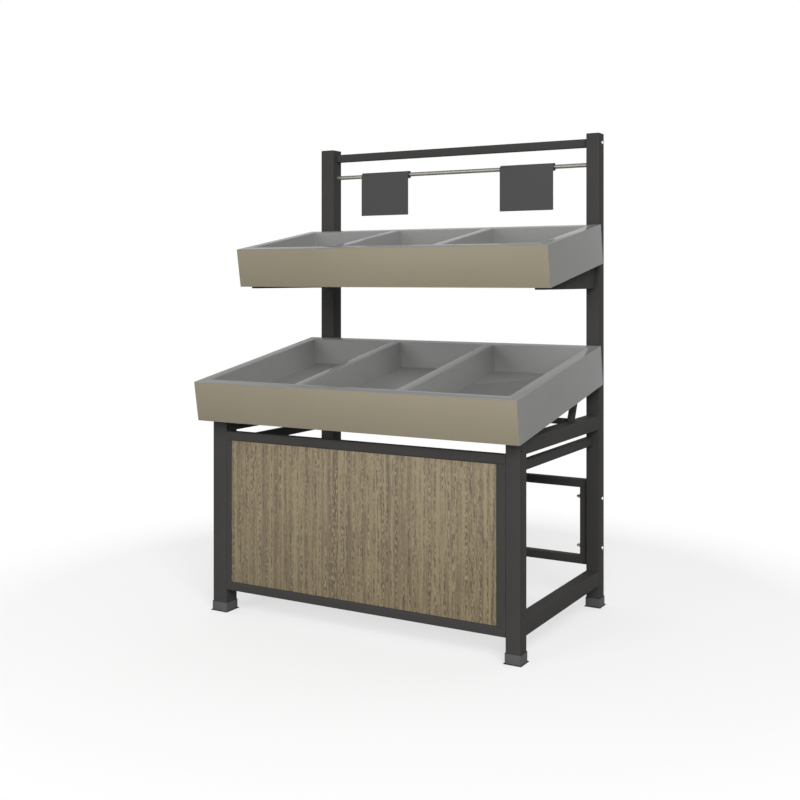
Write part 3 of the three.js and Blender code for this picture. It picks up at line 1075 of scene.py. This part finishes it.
@dataclass
class FrontPanel:
    """The wood board in the front frame, with a dark strip round its face as painted shade in the
    gap.
    """

    finishes: FinishSet
    strip_width: Number = 0.0016
    strip_depth: Number = 0.002
    gap: Number = 0.0002
    edge: Number = 0.0004

    def build(self) -> None:
        """Build the board and its strip of painted shade."""
        low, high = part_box("wood_panel")
        board = Workpiece.block("oak_board", (low.x, low.y + self.strip_depth, low.z), high)
        board.inset(FRONT, self.strip_width)
        middle = both(FRONT, centred_in(low, high, Axis.X, Axis.Z))
        board.extrude(middle, (0, -self.strip_depth, 0))
        board.bevel(lies_at(Axis.Y, low.y), self.edge)
        board.dress(FRAME_BODY, self.finishes.wood, "wood_panel")

        # Painted shade: a dark strip in the rebate round the board's face, where the gap to the
        # frame is in shadow
        rear = low.y + self.strip_depth - self.gap
        strip = Workpiece.block("panel_edge_strip", low, (high.x, rear, high.z))
        strip.bore_through(looks_along(Axis.Y), self.strip_width - self.gap)
        strip.bevel(lies_at(Axis.Y, low.y), self.edge)
        strip.dress(FRAME_BODY, self.finishes.painted_shade_strip)


@dataclass
class Fasteners:
    """Round-headed bolts through the posts, and the hexagon cap nuts inside the frame."""

    finishes: FinishSet
    shank: Number = 0.004
    head: Number = 0.006
    head_height: Number = 0.004
    head_edge: Number = 0.0012
    flange: Number = 0.009
    flange_height: Number = 0.0025
    flange_edge: Number = 0.00125
    hexagon: Number = 0.0075
    hexagon_height: Number = 0.0095
    hexagon_slope: Number = 0.00096
    dome: Number = 0.0058
    nut_height: Number = 0.018
    chamfer: Number = 0.0006
    dome_steps: int = 5
    dome_turn: Number = math.radians(84.6)
    sides: int = 28
    flange_sides: int = 32

    def build(self) -> None:
        """Build the bolts and nuts of both sides."""
        for side, towards in SIDES.items():
            for name in ("lower_frame_bolt", "upper_frame_bolt", "top_rail_bolt"):
                self._bolt(f"{side}_{name}", towards)
            for name in ("lower_cap_nut", "upper_cap_nut"):
                self._nut(f"{side}_{name}", towards)

    def _dome(self, radius: Number, low: Number, high: Number) -> Outline:
        """Rings of a dome.

        Args:
            radius: Radius at its foot.
            low: Height of its foot.
            high: Height of its top.

        Returns:
            Radius and height of each ring, up to a small flat at the top.
        """
        turns = [self.dome_turn * step / self.dome_steps for step in range(self.dome_steps + 1)]
        scale = (high - low) / math.sin(self.dome_turn)
        return [(radius * math.cos(turn), low + scale * math.sin(turn)) for turn in turns]

    def _bolt(self, node: str, towards: Number) -> None:
        """Make a round-headed bolt that comes in from the outside.

        Args:
            node: The CAD node.
            towards: 1 where the head looks along +X, -1 for -X.
        """
        low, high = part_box(node)
        centre = (low + high) / 2
        outer = high.x if towards > 0 else low.x
        foot = (outer - towards * self.head_height, centre.y, centre.z)
        length = high.x - low.x - self.head_height
        outline = [(self.shank - self.chamfer, -length), (self.shank, self.chamfer - length)]
        outline += [(self.shank, 0.0), (self.head, 0.0)]
        outline += self._dome(self.head, self.head_edge, self.head_height)
        bolt = Workpiece.turned(f"{node}_turned", outline, self.sides)
        bolt.stand(towards * Axis.X.unit, foot)
        bolt.dress(FRAME_BODY, self.finishes.zinc, node)

    def _nut(self, node: str, towards: Number) -> None:
        """Make a cap nut: a round flange, a hexagon, and a dome.

        Args:
            node: The CAD node.
            towards: 1 on the right side, where the nut looks along -X.
        """
        low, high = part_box(node)
        centre = (low + high) / 2
        root = high.x if towards > 0 else low.x
        outline = [(self.flange, 0.0), (self.flange, self.flange_edge)]
        outline += [(self.hexagon, self.flange_height)]
        flange = Workpiece.turned(f"{node}_turned", outline, self.flange_sides)
        prism = [(self.hexagon, 0.0), (self.hexagon, self.hexagon_height)]
        hexagon = Workpiece.turned("hexagon", prism, 6)
        hexagon.bevel(runs_along(Axis.Z), self.chamfer)
        hexagon.bevel(lies_at(Axis.Z, self.hexagon_height), self.hexagon_slope)
        rings = self._dome(self.dome, self.hexagon_height, self.nut_height)
        dome = Workpiece.turned("dome", [(self.dome, self.flange_height), *rings], self.sides)
        flange.absorb(hexagon, dome)
        flange.stand(-towards * Axis.X.unit, (root, centre.y, centre.z))
        # The nut takes the zinc darkened as painted shade
        flange.dress(FRAME_BODY, self.finishes.painted_shade_zinc, node)


@dataclass
class Tray:
    """A sloping tray of folded sheet: shell, fascia, base sheet and dividers."""

    finishes: FinishSet
    name: str
    rest: Vector
    overhang: Number
    half_width: Number = 0.623
    height: Number = 0.1415
    rim: Number = 0.043
    divider_width: Number = 0.040
    depth: Number = 0.098
    compartments: int = 3
    sheet: Number = 0.0015
    fascia_thickness: Number = 0.003
    fascia_edge: Number = 0.0006
    base_thickness: Number = 0.002
    base_corner: Number = 0.003
    base_edge: Number = 0.0004
    rear_gap: Number = 0.0125
    corner_fold: Number = 0.004
    floor_fold: Number = 0.0025
    rim_fold: Number = 0.002
    edge: Number = 0.0012
    skirt_recess: Number = 0.008

    @property
    def length(self) -> Number:
        """Length up the slope."""
        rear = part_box("left_rear_post")[0].y - self.rear_gap
        return (rear - self.rest.y) / math.cos(TRAY_TILT) + self.overhang

    @property
    def skin(self) -> Number:
        """How far the shell's front stands behind the fascia's face."""
        return self.fascia_thickness + CLEARANCE

    def _seat(self, piece: Workpiece, coat: Coat, part: str) -> None:
        """Tilt a piece, carry it onto the tray's supports and dress it.

        Args:
            piece: The piece, in the tray's own frame.
            coat: Its finish.
            part: The end of its CAD node's name.
        """
        forward = Vector((0.0, math.cos(TRAY_TILT), math.sin(TRAY_TILT))) * self.overhang
        piece.carry((TRAY_TILT, 0.0, 0.0), self.rest - forward)
        piece.dress(self.name, coat, f"{self.name}_{part}")

    def build(self) -> None:
        """Build the tray's pieces."""
        self._shell()
        self._fascia()
        self._base()
        self._dividers()

    def _shell(self) -> None:
        """Fold the shell: a skirt, a rim with a lip over the fascia, and the basin."""
        x, length, top = self.half_width, self.length, self.height
        below, floor = top - self.sheet, top - self.depth
        corners = (-x, self.skin, 0.0), (x, length, below)
        shell = Workpiece.block(f"{self.name}_folded_shell", *corners)
        shell.extrude(UP, (0, 0, self.sheet))
        shell.extrude(both(FRONT, faces_above(below)), (0, -self.skin, 0))
        shell.merge_flat_faces()
        shell.inset(both(UP, faces_above(below)), self.rim)
        is_middle: Test = lambda centre, _: (
            abs(centre.x) < CENTRED and self.rim < centre.y < length - self.rim
        )
        shell.extrude(both(UP, is_middle), (0, 0, -self.depth))
        underside = both(DOWN, without(faces_above(self.edge)))
        shell.inset(underside, self.sheet)
        shell.extrude(both(underside, is_middle), (0, 0, self.skirt_recess))
        in_width: Test = lambda a, b: max(abs(a.x), abs(b.x)) < x - self.rim + NEAR
        is_inside = both(in_width, edges_above(floor - NEAR))
        shell.bevel(both(runs_along(Axis.Z), is_inside), self.corner_fold, ROUND)
        shell.bevel(both(lies_at(Axis.Z, floor), is_inside), self.floor_fold, SOFT)
        shell.bevel(both(lies_at(Axis.Z, top), is_inside), self.rim_fold, SOFT)
        at_side = lies_at(Axis.X, -x, x)
        at_end = lies_at(Axis.Y, 0.0, length)
        rim_edges = both(lies_at(Axis.Z, top), either(at_side, at_end))
        corner_edges = both(runs_along(Axis.Z), at_side, at_end)
        shell.bevel(either(rim_edges, corner_edges), self.edge, SOFT)
        self._seat(shell, self.finishes.tray_paint, "shell")

    def _fascia(self) -> None:
        """Cut the front fascia, with its edges broken."""
        x, height = self.half_width, self.height - self.sheet - CLEARANCE
        corners = (-x, 0.0, 0.0), (x, self.fascia_thickness, height)
        fascia = Workpiece.block(f"{self.name}_front_sheet", *corners)
        fascia.bevel(lies_at(Axis.Y, 0.0), self.fascia_edge)
        self._seat(fascia, self.finishes.fascia_paint, "fascia")

    def _base(self) -> None:
        """Cut the sheet that closes the underside."""
        inset = self.sheet + CLEARANCE
        x = self.half_width - inset
        corners = (-x, self.skin + inset, 0.0), (x, self.length - inset, self.base_thickness)
        base = Workpiece.block(f"{self.name}_base_sheet", *corners)
        base.bevel(runs_along(Axis.Z), self.base_corner, SOFT)
        base.bevel(lies_at(Axis.Z, 0.0), self.base_edge, CHAMFER)
        self._seat(base, self.finishes.base_paint, "base")

    def _dividers(self) -> None:
        """Fold one divider channel and copy it across the basin."""
        run = 2 * (self.half_width - self.rim) + self.divider_width
        pitch = run / self.compartments
        half = self.divider_width / 2
        front = self.rim + CLEARANCE
        floor = self.height - self.depth + CLEARANCE
        corners = (-half, front, floor), (half, self.length - front, self.height)
        model = Workpiece.block("divider_model", *corners)
        model.bevel(both(runs_along(Axis.Y), lies_at(Axis.Z, self.height)), self.rim_fold, SOFT)
        for number in range(1, self.compartments):
            channel = model.copy(f"{self.name}_divider_{number}_channel")
            channel.obj.location.x = number * pitch - run / 2
            channel.settle()
            self._seat(channel, self.finishes.tray_paint, f"divider_{number}")
        bpy.data.objects.remove(model.obj)


@dataclass
class PriceRail:
    """The bright rod in its sockets, with the two rolled price plates on their bushes."""

    finishes: FinishSet
    rod_radius: Number = 0.008
    chamfer: Number = 0.0008
    socket_radius: Number = 0.0094
    socket_length: Number = 0.006
    socket_bottom: Number = 0.002
    socket_flange: Number = 0.010
    socket_flange_height: Number = 0.0015
    socket_chamfer: Number = 0.0002
    eye_radius: Number = 0.0145
    plate_sheet: Number = 0.002
    plate_edge: Number = 0.0005
    curl_end: Number = math.radians(-145)
    curl_steps: int = 22
    rod_sides: int = 48
    ring_sides: int = 40

    def build(self) -> None:
        """Build the rod, the sockets and both plates."""
        low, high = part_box("price_rod")
        centre = (low + high) / 2
        half, r, c = (high.x - low.x) / 2, self.rod_radius, self.chamfer
        outline = [(r - c, -half), (r, c - half), (r, half - c), (r - c, half)]
        rod = Workpiece.turned("price_rod_bar", outline, self.rod_sides)
        rod.stand(Axis.X.unit, centre)
        rod.dress(FRAME_BODY, self.finishes.chrome, "price_rod")
        for side, towards in SIDES.items():
            self._socket(f"{side}_rod_socket", towards, centre)
            self._plate(side, centre)
            self._bush(side, centre)

    def _socket(self, node: str, towards: Number, centre: Vector) -> None:
        """Turn a socket with a flange against the post.

        Args:
            node: The CAD node.
            towards: 1 on the right side, where the socket looks along -X.
            centre: A point on the rod's axis.
        """
        low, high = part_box(node)
        root = high.x if towards > 0 else low.x
        bore = self.rod_radius + CLEARANCE
        c, radius, length = self.socket_chamfer, self.socket_radius, self.socket_length
        flange, flange_height = self.socket_flange, self.socket_flange_height
        outline = [
            (bore, self.socket_bottom),
            (bore, length - c),
            (bore + c, length),
            (radius - c, length),
            (radius, length - c),
            (radius, flange_height),
            (flange - c, flange_height),
            (flange, flange_height - c),
            (flange, 0.0),
            (bore, 0.0),
        ]
        socket = Workpiece.turned(f"{node}_turned", outline, self.ring_sides, Closing.RING)
        socket.stand(-towards * Axis.X.unit, (root, centre.y, centre.z))
        socket.dress(FRAME_BODY, self.finishes.chrome, node)

    def _plate(self, side: str, centre: Vector) -> None:
        """Roll a price plate: a flat sheet whose top curls round the rod.

        Args:
            side: Left or right.
            centre: A point on the rod's axis.
        """
        node = f"{side}_price_plate"
        low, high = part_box(node)
        radius = self.eye_radius - self.plate_sheet / 2
        clear_selection()
        bpy.ops.mesh.primitive_plane_add(size=1.0)
        plate = Workpiece(f"{node}_sheet")
        plate.obj.scale = (high.x - low.x, centre.z - low.z, 1.0)
        place = ((low.x + high.x) / 2, centre.y - radius, (low.z + centre.z) / 2)
        plate.carry((math.pi / 2, 0.0, 0.0), place)
        with plate.edit(Kind.EDGES, lies_at(Axis.Z, centre.z)):
            angle = math.pi
            step = (math.pi - self.curl_end) / self.curl_steps
            for _ in range(self.curl_steps):
                after = angle - step
                rearward = radius * (math.cos(after) - math.cos(angle))
                draw_out((0.0, rearward, radius * (math.sin(after) - math.sin(angle))))
                angle = after
        plate.modify("SOLIDIFY", thickness=self.plate_sheet, offset=0.0, use_even_offset=True)
        foot = both(runs_along(Axis.Y), without(edges_above(low.z + self.plate_sheet)))
        plate.bevel(foot, self.plate_sheet, ROUND)
        plate.bevel(either(lies_at(Axis.X, low.x, high.x), lies_at(Axis.Z, low.z)), self.plate_edge)
        plate.dress(f"{side}_plate", self.finishes.plate_paint, node)

    def _bush(self, side: str, centre: Vector) -> None:
        """Turn the bush inside a plate's eye.

        Args:
            side: Left or right.
            centre: A point on the rod's axis.
        """
        node = f"{side}_plate_bush"
        low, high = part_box(node)
        half, c = (high.x - low.x) / 2, self.chamfer
        inner = self.rod_radius + CLEARANCE
        outer = self.eye_radius - self.plate_sheet - CLEARANCE
        left = [(inner, c - half), (inner + c, -half), (outer - c, -half), (outer, c - half)]
        right = [(radius, -height) for radius, height in reversed(left)]
        bush = Workpiece.turned(f"{node}_turned", left + right, self.ring_sides, Closing.RING)
        bush.stand(Axis.X.unit, ((low.x + high.x) / 2, centre.y, centre.z))
        bush.dress(f"{side}_bush", self.finishes.black_plastic, node)


# Studio


@dataclass(frozen=True)
class Lamp:
    """A soft square lamp: where it hangs, the length of its sides, and its power in watts."""

    name: str
    place: tuple[Number, Number, Number]
    size: Number
    power: Number


@dataclass
class Studio:
    """Plain pale floor, soft lamps, white surroundings and the photograph's camera."""

    lamps: tuple[Lamp, ...] = (
        Lamp("key", (4.8, -6.1, 4.3), size=5.2, power=655.0),
        Lamp("left_fill", (-2.0, -5.6, 1.3), size=2.4, power=132.0),
        Lamp("side_fill", (-5.4, 0.8, 2.0), size=2.4, power=45.0),
    )
    lamp_aim: tuple[Number, Number, Number] = (0.0, 0.0, 0.8)
    eye: tuple[Number, Number, Number] = (1.9972, -3.52416, 1.1906)
    heading: Number = math.radians(29.8)
    lens: Number = 50.64
    sensor: Number = 36.0
    shift_up: Number = -0.1514
    view_range: Number = 200.0
    world_level: Number = 0.31
    rear_lift: Number = 0.8
    floor_size: Number = 60.0
    floor_tone: Number = 0.88
    floor_bounce: Number = 0.16
    floor_fade: Step = (0.7, 1.3)
    floor_glow: Number = 0.58

    def build(self) -> None:
        """Set the stage, the lamps, the surroundings and the camera."""
        self._floor()
        self._surroundings()
        for lamp in self.lamps:
            self._hang(lamp)
        self._camera()
        bpy.context.scene.view_settings.view_transform = "Standard"

    def _seen_directly(self, recipe: Recipe) -> Signal:
        """1 for rays from the camera, reflections and transmission, else 0.

        Args:
            recipe: The recipe that asks.

        Returns:
            The mask.
        """
        path = recipe.node("ShaderNodeLightPath", None, None)
        camera, glossy, through = (
            Signal(recipe, path.outputs[name])
            for name in ("Is Camera Ray", "Is Glossy Ray", "Is Transmission Ray")
        )
        return camera.highest(glossy).highest(through)

    def _floor(self) -> None:
        """Lay the floor: pale near the rack, where it takes the shadow, and white further out."""
        clear_selection()
        bpy.ops.mesh.primitive_plane_add(size=self.floor_size)
        floor = Workpiece("studio_floor")
        recipe, made = Recipe.material("studio_floor")
        reach = {"operation": "LENGTH"}
        away = recipe.add("ShaderNodeVectorMath", reach, {0: recipe.place()}, outlet="Value")
        seen = self._seen_directly(recipe)
        bounce, tone = ((level, level, level, 1.0) for level in (self.floor_bounce, self.floor_tone))
        near = recipe.add("ShaderNodeBsdfDiffuse", None, {"Color": recipe.mix(seen, bounce, tone)})
        far = recipe.add("ShaderNodeEmission", None, {"Color": WHITE, "Strength": 1.0})
        white = away.above(*self.floor_fade).highest(self.floor_glow)
        recipe.close(recipe.add("ShaderNodeMixShader", None, {0: white * seen, 1: near, 2: far}))
        floor.obj.data.materials.append(made)

    def _surroundings(self) -> None:
        """Light the scene evenly from all round, white where it is seen directly."""
        world = bpy.data.worlds.new("studio")
        bpy.context.scene.world = world
        world.use_nodes = True
        recipe = Recipe(world.node_tree)
        facing = recipe.add("ShaderNodeTexCoord", outlet="Generated")
        behind = recipe.add("ShaderNodeSeparateXYZ", None, {0: facing}, outlet="Y").highest(0.0)
        level = behind * self.rear_lift + self.world_level
        seen = self._seen_directly(recipe)
        light = {"Color": WHITE, "Strength": seen + (1.0 - seen) * level}
        recipe.close(recipe.add("ShaderNodeBackground", None, light), "ShaderNodeOutputWorld")

    def _hang(self, lamp: Lamp) -> None:
        """Hang a lamp so that it looks at the rack.

        Args:
            lamp: The lamp.
        """
        light = bpy.data.lights.new(lamp.name, "AREA")
        light.size = lamp.size
        light.energy = lamp.power
        holder = bpy.data.objects.new(lamp.name, light)
        holder.location = lamp.place
        aim = Vector(self.lamp_aim) - Vector(lamp.place)
        holder.rotation_euler = aim.to_track_quat("-Z", "Y").to_euler()
        bpy.context.scene.collection.objects.link(holder)

    def _camera(self) -> None:
        """Set up the photograph's camera."""
        camera = bpy.data.cameras.new("camera")
        camera.lens = self.lens
        camera.sensor_width = self.sensor
        camera.shift_y = self.shift_up
        camera.clip_end = self.view_range
        holder = bpy.data.objects.new("camera", camera)
        holder.location = self.eye
        holder.rotation_euler = (math.pi / 2, 0.0, self.heading)
        bpy.context.scene.collection.objects.link(holder)
        bpy.context.scene.camera = holder


def main() -> None:
    """Build the rack piece by piece, then the studio."""
    logging.basicConfig(level=logging.INFO, format="%(name)s %(message)s")
    finishes = FinishSet()
    TubeWork(finishes).build()
    Boots(finishes).build()
    PostCaps(finishes).build()
    FrontPanel(finishes).build()
    Fasteners(finishes).build()
    leg_low, leg_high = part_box("left_front_leg")
    bracket_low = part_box("left_tray_bracket")[0]
    tip = bracket_low.z + TubeWork.bracket_tip
    lower_rest = Vector((0.0, leg_low.y, leg_high.z + CLEARANCE))
    upper_rest = Vector((0.0, bracket_low.y, tip + CLEARANCE))
    Tray(finishes, "lower_tray", lower_rest, overhang=0.056).build()
    Tray(finishes, "upper_tray", upper_rest, overhang=0.0195).build()
    PriceRail(finishes).build()
    Studio().build()


if __name__ == "__main__":
    main()
